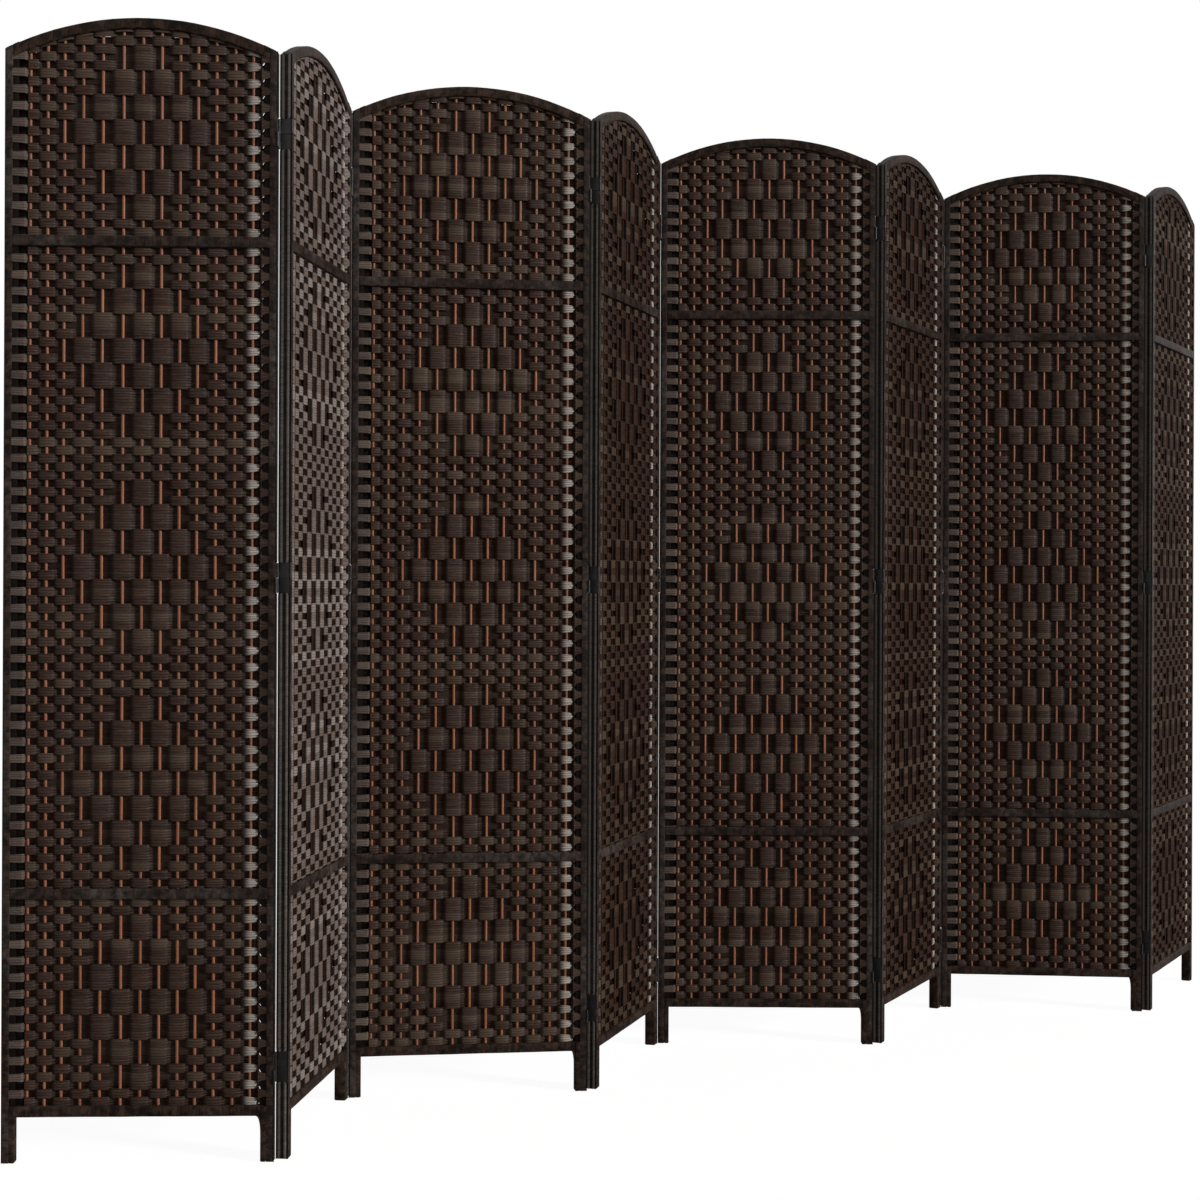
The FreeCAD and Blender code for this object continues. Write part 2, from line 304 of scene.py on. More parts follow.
# Wrapping: a paper band wound round a board. The way along is divided into turns, each with a tone of its
# own and a thin dark step at its edge, and fine streaks run across the board
def woundWrap():
    group, given, result = newGroup(
        "woundWrap", {"Lay": None, "Tone": 0.5, "Turn": 0.011, "Slant": 0.12},
        ("Height", "Step", "Turn Tone", "Streak"))
    t = Tree(group)
    split = t.put("ShaderNodeSeparateXYZ", {0: given.outputs["Lay"]})
    along, across = split.outputs[0], split.outputs[1]
    seed = t.times(given.outputs["Tone"], 43.0)
    drift = t.times(t.minus(t.noise(given.outputs["Lay"], 34.0, 2.0, seed), 0.5), 0.009)
    slanted = t.plus(t.plus(along, drift), t.times(across, given.outputs["Slant"]))
    turns = t.plus(t.math("DIVIDE", slanted, given.outputs["Turn"]), seed)
    part = t.math("FRACT", turns)
    turnTone = t.put("ShaderNodeTexWhiteNoise", {"W": t.math("FLOOR", turns)}, noise_dimensions="1D").outputs[0]
    edge = t.math("POWER", t.math("ABSOLUTE", t.minus(t.times(part, 2.0), 1.0)), 9.0)
    streak = t.noise(t.stretched(slanted, across, (900.0, 60.0)), 1.0, 3.0, seed, 0.6)
    height = t.plus(t.times(t.minus(1.0, edge), 0.7), t.times(streak, 0.3))
    t.link(height, result.inputs["Height"])
    t.link(edge, result.inputs["Step"])
    t.link(turnTone, result.inputs["Turn Tone"])
    t.link(t.ramp(streak, 0.35, 0.67), result.inputs["Streak"])
    return group


# Grain of a stained stick: noise drawn out along it, with finer pores
def stainGrain():
    group, given, result = newGroup(
        "stainGrain", {"Lay": None, "Tone": 0.5, "Fineness": 1.0}, ("Grain", "Pores", "Blotch"))
    t = Tree(group)
    split = t.put("ShaderNodeSeparateXYZ", {0: given.outputs["Lay"]})
    seed = t.times(given.outputs["Tone"], 29.0)
    across = t.times(split.outputs[1], given.outputs["Fineness"])
    coarse = t.stretched(split.outputs[0], across, (12.0, 900.0))
    fine = t.stretched(split.outputs[0], across, (70.0, 3200.0))
    t.link(t.ramp(t.noise(coarse, 1.0, 3.0, seed), 0.3, 0.7), result.inputs["Grain"])
    t.link(t.ramp(t.noise(fine, 1.0, 2.0, seed), 0.52, 0.75), result.inputs["Pores"])
    t.link(t.ramp(t.noise(given.outputs["Lay"], 18.0, 2.0, seed), 0.3, 0.7), result.inputs["Blotch"])
    return group


# Wear and dust: patches from two sizes of noise, and dust that is thicker on faces that look up
def handWear():
    group, given, result = newGroup(
        "handWear", {"Vector": None, "Scale": 9.0, "Dust": 0.3}, ("Rubbed", "Dusty"))
    t = Tree(group)
    broad = t.noise(given.outputs["Vector"], given.outputs["Scale"], 3.0)
    fine = t.noise(given.outputs["Vector"], t.times(given.outputs["Scale"], 14.0), 3.0)
    t.link(t.times(t.ramp(broad, 0.45, 0.7), t.ramp(fine, 0.35, 0.7)), result.inputs["Rubbed"])
    up = t.put("ShaderNodeSeparateXYZ", {0: t.put("ShaderNodeNewGeometry").outputs["Normal"]}).outputs[2]
    lying = t.times(t.ramp(up, 0.35, 0.95), given.outputs["Dust"])
    t.link(t.times(lying, t.ramp(fine, 0.25, 0.8)), result.inputs["Dusty"])
    return group


groups = {"strands": paperStrands(), "wrap": woundWrap(), "grain": stainGrain(), "wear": handWear()}


def nodeOf(material, kind):
    return next(n for n in material.node_tree.nodes if n.type == kind)


def newMaterial(name):
    material = bpy.data.materials.new(name)
    material.use_nodes = True
    tree = Tree(material.node_tree)
    shader = nodeOf(material, "BSDF_PRINCIPLED")
    lay = tree.put("ShaderNodeUVMap", uv_map="lay").outputs[0]
    tone = tree.attribute("tone")
    return material, tree, shader, lay, tone


def useGroup(tree, name, inputs):
    return tree.put("ShaderNodeGroup", inputs, node_tree=groups[name])


def linear(red, green, blue):
    channels = [c / 255.0 for c in (red, green, blue)]
    return tuple(c / 12.92 if c <= 0.04045 else ((c + 0.055) / 1.055) ** 2.4 for c in channels) + (1.0,)


def bump(tree, height, distance, strength, shader):
    node = tree.put("ShaderNodeBump", {"Height": height, "Distance": distance, "Strength": strength})
    tree.link(node.outputs[0], shader.inputs["Normal"])


def wovenPaper(look):
    material, t, shader, lay, tone = newMaterial("wovenPaper")
    rope = useGroup(t, "strands", {"Lay": lay, "Tone": tone, "Strand Width": look["strand"],
                                   "Twist": look["twist"]})
    colour = t.mix(rope.outputs["Fibre"], look["dark"], look["light"])
    colour = t.mix(t.times(rope.outputs["Blotch"], look["blotch"]), colour, look["warm"])
    colour = t.mix(t.ramp(tone, 0.55, 1.0), colour, look["pale"])
    # painted highlight: marked points take the near white colour, in streaks of fibre
    wearAndHighlight = t.attribute("wearAndHighlight")
    colour = t.mix(t.times(wearAndHighlight, t.ramp(rope.outputs["Fibre"], -0.2, 0.7)), colour, look["bareAndHighlight"])
    # painted shade: the creases between strands and the hollows between the crests are darkened towards the
    # near black groove colour
    deep = t.attribute("deep")
    shade = t.math("MAXIMUM", t.times(rope.outputs["Groove"], look["grooveShade"]),
                   t.times(deep, look["hollowShade"]))
    colour = t.mix(shade, colour, look["groove"])
    t.link(colour, shader.inputs["Base Color"])
    t.link(t.math("MULTIPLY_ADD", rope.outputs["Fibre"], -0.14, look["roughness"]), shader.inputs["Roughness"])
    # streaks of fibre shine more than the rest; the painted shade in the hollows takes their shine away too,
    # and loose fibre hides the shine of what is seen very flatly
    flat = t.put("ShaderNodeLayerWeight", {"Blend": 0.5}).outputs["Facing"]
    clear = t.minus(1.0, t.times(t.ramp(flat, 0.38, 0.62), look["flatLoss"]))
    bright = t.math("POWER", rope.outputs["Fibre"], 1.5)
    streaks = t.math("MULTIPLY_ADD", bright, look["shine"], look["specular"])
    clear = t.times(clear, t.math("MULTIPLY_ADD", deep, -0.96, 1.0))
    t.link(t.times(streaks, clear), shader.inputs["Specular IOR Level"])
    shader.inputs["Sheen Weight"].default_value = look["sheen"]
    shader.inputs["Sheen Roughness"].default_value = 0.4
    shader.inputs["Sheen Tint"].default_value = look["sheenTint"]
    bump(t, rope.outputs["Height"], 0.0007, look["bump"], shader)
    return material


def stainedRod(look):
    material, t, shader, lay, tone = newMaterial("stainedRod")
    grain = useGroup(t, "grain", {"Lay": lay, "Tone": tone, "Fineness": 1.0})
    colour = t.mix(grain.outputs["Grain"], look["dark"], look["light"])
    colour = t.mix(t.times(grain.outputs["Blotch"], 0.45), colour, look["warm"])
    # painted shade: a high tone darkens a rod nearly to black and takes its shine away; the low tones of the
    # other panels darken it a little, as a darker stain
    darkStainAndShade = t.ramp(tone, 0.1, 0.8)
    colour = t.mix(t.times(darkStainAndShade, 0.96), colour, look["darkStainAndShade"])
    colour = t.mix(t.times(grain.outputs["Pores"], 0.5), colour, look["pore"])
    t.link(colour, shader.inputs["Base Color"])
    t.link(t.math("MULTIPLY_ADD", grain.outputs["Grain"], 0.12, look["roughness"]), shader.inputs["Roughness"])
    shine = t.math("MULTIPLY_ADD", darkStainAndShade, -0.9 * look["specular"], look["specular"])
    t.link(shine, shader.inputs["Specular IOR Level"])
    bump(t, grain.outputs["Pores"], 0.0002, -0.4, shader)
    return material


def wrappedBoard(name, look):
    material, t, shader, lay, tone = newMaterial(name)
    wrap = useGroup(t, "wrap", {"Lay": lay, "Tone": tone, "Turn": look["turn"], "Slant": look["slant"]})
    where = t.put("ShaderNodeTexCoord").outputs["Object"]
    wear = useGroup(t, "wear", {"Vector": where, "Scale": 9.0, "Dust": look["dust"]})
    colour = t.mix(wrap.outputs["Streak"], look["dark"], look["light"])
    colour = t.mix(t.times(wrap.outputs["Turn Tone"], look["bands"]), colour, look["band"])
    colour = t.mix(t.times(wrap.outputs["Step"], 0.7), colour, look["groove"])
    mottle = t.ramp(t.noise(lay, 85.0, 2.0, t.times(tone, 17.0)), 0.4, 0.58)
    colour = t.mix(t.times(mottle, look["mottle"]), colour, look["groove"])
    # painted highlight: points marked on the end strips take the worn colour as light lines; elsewhere that
    # colour shows real wear
    wornAndLit = t.attribute("wearAndHighlight")
    deep = t.attribute("deep")
    wornAndLit = t.math("MAXIMUM", t.times(wornAndLit, t.ramp(wrap.outputs["Streak"], -0.5, 1.0)),
                  t.times(wear.outputs["Rubbed"], look["wearAndHighlight"]))
    colour = t.mix(wornAndLit, colour, look["wornAndLit"])
    colour = t.mix(wear.outputs["Dusty"], colour, look["dustColour"])
    # painted shade: points marked deep, the stile's upper core behind the mat and the margins and middle hollow
    # of the end strips, are darkened towards the groove colour
    colour = t.mix(t.times(deep, 0.9), colour, look["groove"])
    t.link(colour, shader.inputs["Base Color"])
    t.link(t.math("MULTIPLY_ADD", wrap.outputs["Streak"], 0.12, look["roughness"]), shader.inputs["Roughness"])
    shader.inputs["Specular IOR Level"].default_value = look["specular"]
    bump(t, wrap.outputs["Height"], 0.0005, look["bump"], shader)
    return material


def blackSteel(look):
    material, t, shader, lay, tone = newMaterial("blackSteel")
    where = t.put("ShaderNodeTexCoord").outputs["Object"]
    wear = useGroup(t, "wear", {"Vector": where, "Scale": 60.0, "Dust": 0.15})
    fine = t.noise(where, 1400.0, 2.0)
    colour = t.mix(t.times(wear.outputs["Rubbed"], 0.5), look["paint"], look["bareAndHighlight"])
    colour = t.mix(wear.outputs["Dusty"], colour, look["dust"])
    t.link(colour, shader.inputs["Base Color"])
    t.link(t.math("MULTIPLY_ADD", fine, 0.2, look["roughness"]), shader.inputs["Roughness"])
    shader.inputs["Specular IOR Level"].default_value = 0.4
    shader.inputs["Metallic"].default_value = 0.1
    bump(t, fine, 0.0001, 0.25, shader)
    return material


# woven paper: the near white colour is painted on marked rows as highlight, and the near black one in creases
# and hollows as shade
paperLook = {
    "dark": linear(30, 20, 17), "light": linear(74, 57, 48), "warm": linear(70, 45, 33),
    "pale": linear(82, 67, 55), "groove": linear(8, 5, 4), "bareAndHighlight": linear(216, 206, 196),
    # width of a strand in metres, and its twist as a slope
    "strand": 0.0042, "twist": 0.5,
    "blotch": 0.5, "grooveShade": 0.7, "hollowShade": 0.96, "roughness": 0.5, "specular": 0.03, "shine": 0.3,
    "flatLoss": 0.97, "sheen": 0.02, "sheenTint": linear(190, 172, 158), "bump": 0.8}
finish = {
    "woven": wovenPaper(paperLook),
    # one mat is painted lighter than the others, as painted light: a lit copy of the woven paper
    "litWoven": wovenPaper({
        **paperLook, "dark": linear(84, 72, 66), "light": linear(148, 134, 126), "warm": linear(112, 92, 80),
        "pale": linear(150, 138, 130), "hollowShade": 0.95}),
    "rod": stainedRod({
        "dark": linear(108, 64, 41), "light": linear(174, 112, 78), "warm": linear(148, 86, 58),
        "darkStainAndShade": linear(14, 8, 7), "pore": linear(60, 32, 20), "roughness": 0.4, "specular": 0.3}),
    "wood": wrappedBoard("wrappedWood", {
        "dark": linear(9, 5, 4), "light": linear(66, 49, 40), "band": linear(78, 59, 48),
        "groove": linear(7, 4, 3), "wornAndLit": linear(92, 74, 64), "dustColour": linear(100, 90, 82),
        "bands": 0.5, "mottle": 0.85, "wearAndHighlight": 0.5, "dust": 0.12, "turn": 0.011, "slant": 0.1,
        "roughness": 0.55, "specular": 0.08, "bump": 0.8}),
    # the strips' worn colour is also the colour of their painted highlight lines
    "strip": wrappedBoard("wrappedStrip", {
        "dark": linear(9, 6, 5), "light": linear(66, 50, 43), "band": linear(76, 59, 51),
        "groove": linear(7, 4, 3), "wornAndLit": linear(150, 142, 134), "dustColour": linear(104, 94, 86),
        "bands": 0.45, "mottle": 0.8, "wearAndHighlight": 0.25, "dust": 0.12, "turn": 0.013, "slant": 0.1,
        "roughness": 0.52, "specular": 0.1, "bump": 0.8}),
    "steel": blackSteel({
        "paint": linear(15, 12, 11), "bareAndHighlight": linear(64, 60, 58), "dust": linear(92, 86, 80),
        "roughness": 0.34}),
}
print("finishes made:", ", ".join(finish))


stile = {
    "round": 0.9, "innerRound": 0.4, "legRound": 1.8, "footRound": 2.0, "innerFootRound": 0.6, "square": 0.02,
    "spacing": 26.0, "legSpacing": 14.0, "innerSpacing": 40.0,
    # overlap: how far one piece runs into the next; lap and innerLap: how far the cores pass the leg's top
    "overlap": 0.2, "lap": 4.0, "innerLap": 3.0,
    "headDepth": 16.0, "headInset": 0.8, "headReach": 0.3, "headRound": 0.3, "headBelow": 0.1,
    "headShares": (0.0, 0.04, 0.5, 0.96, 1.0),
    "filletWidth": 6.0, "filletHeight": 24.0, "filletReach": 0.5, "filletHalf": 8.5, "filletBevel": 0.5,
    "filletShrink": 0.92,
}


# Upright board: its cross section is carried from zLow up to the slope of the arch or to zHigh. The height
# of a station is the same share of the way up at every x. A radius may be a table of heights and radii.
def uprightBoard(low, high, radii, zLow, zHigh=None, round=1.0, spacing=stile["spacing"]):
    length = (zHigh if zHigh is not None else archZ((low[0] + high[0]) / 2)) - zLow
    way, inset = stationsAlong(length, round, spacing)
    radii = [r if np.ndim(r) == 0 else np.interp(way + zLow, r[0], r[1]) for r in radii]
    outline = roundedOutline(low, high, radii)
    outline = np.broadcast_to(outline, (len(way),) + outline.shape[1:])
    outline = drawnIn(outline, inset)
    top = archZ(outline[..., 0]) if zHigh is None else np.full(outline.shape[:2], float(zHigh))
    z = zLow + (way / length)[:, None] * (top - zLow)
    return ringsOf(outline[..., 0], outline[..., 1], z)


# Filler in the corner under the bottom rail at the right leg: a quarter of an oval hollow, carried from
# front to back and drawn in towards the corner point at both faces
def cornerFiller():
    inner = panel["width"] - panel["stile"]
    turn = np.linspace(0, math.pi / 2, 9)
    x = inner - stile["filletWidth"] * (1 - np.sin(turn))
    z = panel["railBottom"] - stile["filletHeight"] * (1 - np.cos(turn))
    x = np.concatenate([x, [inner + stile["filletReach"]] * 2])
    z = np.concatenate([z, [panel["railBottom"] + stile["filletReach"], z[0]]])
    face, edge = stile["filletHalf"], stile["filletHalf"] - stile["filletBevel"]
    shrink = np.array([stile["filletShrink"], 1.0, 1.0, stile["filletShrink"]])
    outline = np.stack([x, z], -1)
    rings = outline[-2] + (outline - outline[-2]) * shrink[:, None, None]
    return ringsOf(rings[..., 0], np.array([-face, -edge, edge, face])[:, None], rings[..., 1])


def stileParts(number):
    half = panel["halfThickness"]
    core = panel["coreHalf"]
    parts = []
    for side in (0, 1):
        upper = uprightBoard((panel["coreEnd"], -core), (panel["stile"], core), [stile["round"]] * 4,
                             panel["railTop"] - stile["lap"])
        square, soft = stile["square"], stile["legRound"]
        leg = uprightBoard((panel["coverEnd"], -half), (panel["stile"], half), [square, soft, soft, square],
                           0.0, panel["railTop"], round=stile["footRound"], spacing=stile["legSpacing"])
        inLeg = uprightBoard((panel["coreEnd"], -core), (panel["coverEnd"] + stile["overlap"], core),
                             [stile["innerRound"]] * 4, 0.0, panel["railTop"] - stile["innerLap"],
                             round=stile["innerFootRound"], spacing=stile["innerSpacing"])
        # head of the stile beside the end of the arch, wrapped flush with it
        inset = stile["headInset"]
        head = roundedOutline((panel["coverEnd"], -half + inset),
                              (panel["stile"] + stile["headReach"], half - inset), [stile["headRound"]] * 4, 2)
        low = archZ(head[..., 0], stile["headDepth"])
        high = archZ(head[..., 0]) - stile["headBelow"]
        z = low + np.array(stile["headShares"])[:, None] * (high - low)
        head = ringsOf(head[..., 0], head[..., 1], z)
        for rings in (upper, leg, inLeg, head):
            # the upper core, seen only between the mat's rows, is marked deep all over and so painted near
            # black as shade
            deep = np.full(rings.shape[:3], 1.0 if rings is upper else 0.0)
            parts.append(skin(rings if side == 0 else mirrored(rings), deep=deep))
    parts.append(skin(cornerFiller()))
    return parts


rail = {"halfThickness": 8.5, "height": 16.0, "round": 2.2, "waver": 0.2, "spacing": 16.0, "tenon": 0.5}


# Bottom rail: a rounded section carried along x. Arched rail: the same section, each point of it at its own
# depth below the outer arch, so that both ends stand upright against the stiles
def railParts(number):
    x0, x1 = panel["stile"] - rail["tenon"], panel["width"] - panel["stile"] + rail["tenon"]
    x = np.linspace(x0, x1, int((x1 - x0) / rail["spacing"]))
    section = roundedOutline((-rail["halfThickness"], 0.0), (rail["halfThickness"], rail["height"]),
                             [rail["round"]] * 4)[0]
    z = panel["railBottom"] + section[:, 1] + waver(x, rail["waver"], 130.0, number * 1.3)[0][:, None]
    sway = waver(x, rail["waver"], 110.0, number * 2.1)[0][:, None]
    depth = rail["height"] - section[:, 1] + sway + rail["waver"]
    x = x[:, None]
    return [skin(ringsOf(x, section[:, 0], z)), skin(ringsOf(x, section[:, 0], archZ(x, depth)))]


trim = {
    "coverOuterRound": 0.5, "coverInnerRound": 1.0, "coverSeamRound": 0.1, "coverEndRound": 1.6,
    "coverChange": 3.0,
    "edgeWidth": 18.6, "freeWidth": 15.0, "lip": 0.5, "edgeCorner": 3.2, "squareCorner": 0.4,
    "edgeSpacing": 60.0, "cornerShares": (0.0, 0.08, 0.3, 0.6, 1.0),
    # x, y, how much painted highlight, how much painted shade, all round the section; x below zero stands for
    # the lip
    "edgeSection": (
        (1.5, -9.3, 0, 1), (0.1, -9.3, 0, 1), (-1, -9.3, 0, 1), (-1, -8.5, 0, 1), (0.35, -7.0, 0, 1),
        (0.0, -6.4, 0.8, 0), (0.0, -3.0, 0.5, 0), (0.3, -2.0, 0, 0.7),
        (0.3, 2.0, 0, 0.7), (0.0, 3.0, 0.5, 0), (0.0, 6.4, 0.8, 0),
        (0.35, 7.0, 0, 1), (-1, 8.5, 0, 1), (-1, 9.3, 0, 1), (0.1, 9.3, 0, 1), (1.5, 9.3, 0, 1)),
    "battenHeight": 16.0, "battenRound": 1.5, "battenBow": 0.35, "battenSpacing": 15.0, "battenEndRound": 1.0,
    "battenCentres": (399.0, 1368.0), "hingeHeight": 45.0, "hingeGap": 0.3,
}
hingeCentres = (138.0, 869.0, panel["sideHeight"] - 119.0)


# Ends of a panel that meet another: 0 its left end, 1 its right end
def hingedSides(number):
    return [side for side, endPanel in enumerate((1, panel["count"])) if number != endPanel]


# Strip on the end face: a flat section with a hollow along its middle and a margin at each side, both painted
# dark as shade, with light lines painted on the flats between as highlight, carried up between two heights.
# Towards a rounded end its half width shrinks along a quarter circle.
def edgeStrip(width, lip, zLow, zHigh, roundLow, roundHigh):
    half = width / 2
    turns = [trim["edgeCorner" if rounded else "squareCorner"] for rounded in (roundLow, roundHigh)]
    near = np.array(trim["cornerShares"])
    between = np.linspace(zLow, zHigh, int((zHigh - zLow) / trim["edgeSpacing"]) + 2)[1:-1]
    z = np.concatenate([zLow + near * turns[0], between, zHigh - near[::-1] * turns[1]])
    cut = [r - np.sqrt(r * r - np.square(np.clip(r - (z - zLow if low else zHigh - z), 0, r)))
           for r, low in zip(turns, (True, False))]
    shrink = 1 - np.maximum(cut[0], cut[1]) / half
    x, y, wearAndHighlight, deep = (np.array(column) for column in zip(*trim["edgeSection"]))
    x = np.where(x < 0, -lip, x)
    y = np.clip(y, -half, half)
    rings = ringsOf(x, shrink[:, None] * y, z[:, None])
    points = rings.shape[:3]
    return rings, np.broadcast_to(wearAndHighlight, points), np.broadcast_to(deep, points)


def trimParts(number):
    half = panel["halfThickness"]
    core = panel["coreHalf"]
    parts = []
    # the inner corner of the cover strip is square beside the leg, where both are wrapped as one
    inner = ((panel["railTop"] - trim["coverChange"], panel["railTop"] + trim["coverChange"]),
             (stile["square"], trim["coverInnerRound"]))
    outer, seam = trim["coverOuterRound"], trim["coverSeamRound"]
    for side in (0, 1):
        for face in (-1, 1):
            low = (panel["coreEnd"], -half if face < 0 else core)
            high = (panel["coverEnd"], -core if face < 0 else half)
            radii = [outer, inner, seam, seam] if face < 0 else [seam, seam, inner, outer]
            rings = uprightBoard(low, high, radii, 0.0, round=trim["coverEndRound"])
            parts.append(skin(rings if side == 0 else mirrored(rings)))
    x0, x1 = panel["coverEnd"] - stile["overlap"], panel["width"] - panel["coverEnd"] + stile["overlap"]
    way, inset = stationsAlong(x1 - x0, trim["battenEndRound"], trim["battenSpacing"])
    rise = trim["battenHeight"] / 2
    for centre in trim["battenCentres"]:
        for face in (-1, 1):
            section = roundedOutline((-half if face < 0 else core, -rise), (-core if face < 0 else half, rise),
                                     [trim["battenRound"]] * 4)
            section = drawnIn(np.broadcast_to(section, (len(way),) + section.shape[1:]), inset * 0.5)
            bow = waver(way, trim["battenBow"], 160.0, number * 1.9 + centre + face)[0][:, None]
            parts.append(skin(ringsOf((x0 + way)[:, None], section[..., 0], centre + section[..., 1] + bow)))
    reach = trim["hingeHeight"] / 2 + trim["hingeGap"]
    for side in (0, 1):
        hinged = side in hingedSides(number)
        breaks = [(c - reach, c + reach) for c in hingeCentres] if hinged else []
        width, lip = (trim["edgeWidth"], trim["lip"]) if hinged else (trim["freeWidth"], 0.0)
        zLow = 0.0
        for low, high in breaks + [(panel["sideHeight"], panel["sideHeight"])]:
            rings, wearAndHighlight, deep = edgeStrip(width, lip, zLow, low, zLow > 0, low < panel["sideHeight"])
            parts.append(skin(rings if side == 0 else mirrored(rings), wearAndHighlight=wearAndHighlight, deep=deep))
            zLow = high
    return parts


rod = {"radius": 2.4, "around": 10, "stations": 16, "seat": 0.3, "bow": 0.5, "bowLength": 1600.0,
       "bowPeriod": 900.0, "toneSpread": 0.25, "shadedTone": 0.75}


# Rod: a circle carried up from rail to rail along a slightly bowed line
def rodParts(number):
    top = archZ(rodX + np.sign(rodX - panel["width"] / 2) * rod["radius"], rail["height"]) - rod["seat"]
    share = np.linspace(0, 1, rod["stations"])
    z = panel["railTop"] + share[None, :] * (top - panel["railTop"])[:, None]
    phases = rodX * 0.37 + number * 3.1
    bow = waver(share * rod["bowLength"], rod["bow"], rod["bowPeriod"], phases) * np.sin(math.pi * share)
    turn = np.arange(rod["around"]) * 2 * math.pi / rod["around"]
    x = (rodX[:, None] + bow)[..., None] + rod["radius"] * np.cos(turn)
    y = np.broadcast_to(rod["radius"] * np.sin(turn), x.shape)
    # painted shade: the rods of the panels with even numbers take a high tone, which paints them nearly black
    tones = chance.random(len(rodX)) * rod["toneSpread"] + (rod["shadedTone"] if number % 2 == 0 else 0.0)
    return [skin(ringsOf(x, y, z[..., None])[0], tones)]


mat = {
    # gap: room beside the cover strip; tuck: how far inside the stile's edge a row has turned over the stile
    "halfThickness": 0.85, "crest": 3.35, "stileInner": 6.95, "stileOuter": 8.1, "gap": 0.3, "tuck": 0.5,
    # points round a row's section, as shares of its half height and of its half thickness
    "section": ((-1.0, -0.4), (-0.5, -1.0), (0.5, -1.0), (1.0, -0.4), (1.0, 0.4), (0.5, 1.0), (-0.5, 1.0),
                (-1.0, 0.4)),
    # stops between two rods, share of the way that a crossing takes, and how far it moves beside a stile
    "stops": (0.0, 0.33, 0.45, 0.55, 0.67), "crossing": 0.34, "late": 3.4, "waver": 0.3, "uneven": 0.04,
    # rows from one diamond's centre to the next; height of a centre, first and last row counted from it
    "pitch": 12.36, "period": 26, "sections": ((238.0, -12, 13), (1205.5, -65, 13), (1530.5, -13, 13)),
    # distance from the panel's end, height of the rows in front of the stile, height of those behind it
    "leftComb": ((12.5, 20.5, 30.0, 34.0, 40.0),
                 (11.6, 12.2, 12.8, 14.0, 14.4), (18.6, 24.0, 24.0, 15.6, 14.4)),
    "rightComb": ((12.5, 20.5, 21.5, 23.0, 28.0, 36.5, 42.0),
                  (9.4, 14.0, 19.0, 22.8, 20.4, 16.6, 14.4), (18.6, 18.6, 14.0, 8.6, 10.6, 12.8, 14.4)),
    # under the arch: room below the rail, softness of the limit, thinnest share, height added to a thinned row
    "room": 0.5, "soft": 4.0, "thinnest": 0.27, "crowded": 1.3,
    # distance from the panel's end, and how strongly the paper is painted light there as highlight
    "leftHighlight": ((12.0, 24.0, 32.0, 36.0), (0.5, 0.8, 1.0, 0.0)), "leftHighlightStrength": 0.13,
    "rightHighlight": ((21.0, 23.0, 37.0, 43.0), (0.0, 1.0, 0.8, 0.0)), "rightHighlightStrength": (0.66, 0.34),
    # on panels with even and odd numbers: depth below the crests at which the painted shade of a hollow is
    # full, and how strong that shade is; it is painted darker on the panels with even numbers
    "hollows": ((1.5, 1.0), (2.6, 0.55)),
}


# Whether a row runs behind the rod at a column, both counted from the middle of a diamond. Inside it three
# rows at a time run the same way, so long floats stand in a checker of their own; outside it every row and
# every rod change sides. The stiles count as the columns before the first rod and after the last one.
def runsBehind(row, column):
    block = np.rint(row / 3)
    inDiamond = (np.abs(block) <= 3) & (np.abs(column) <= 4 - np.abs(block))
    return np.where(inDiamond, (column + block) % 2 == 0, (column + row) % 2 == 1)


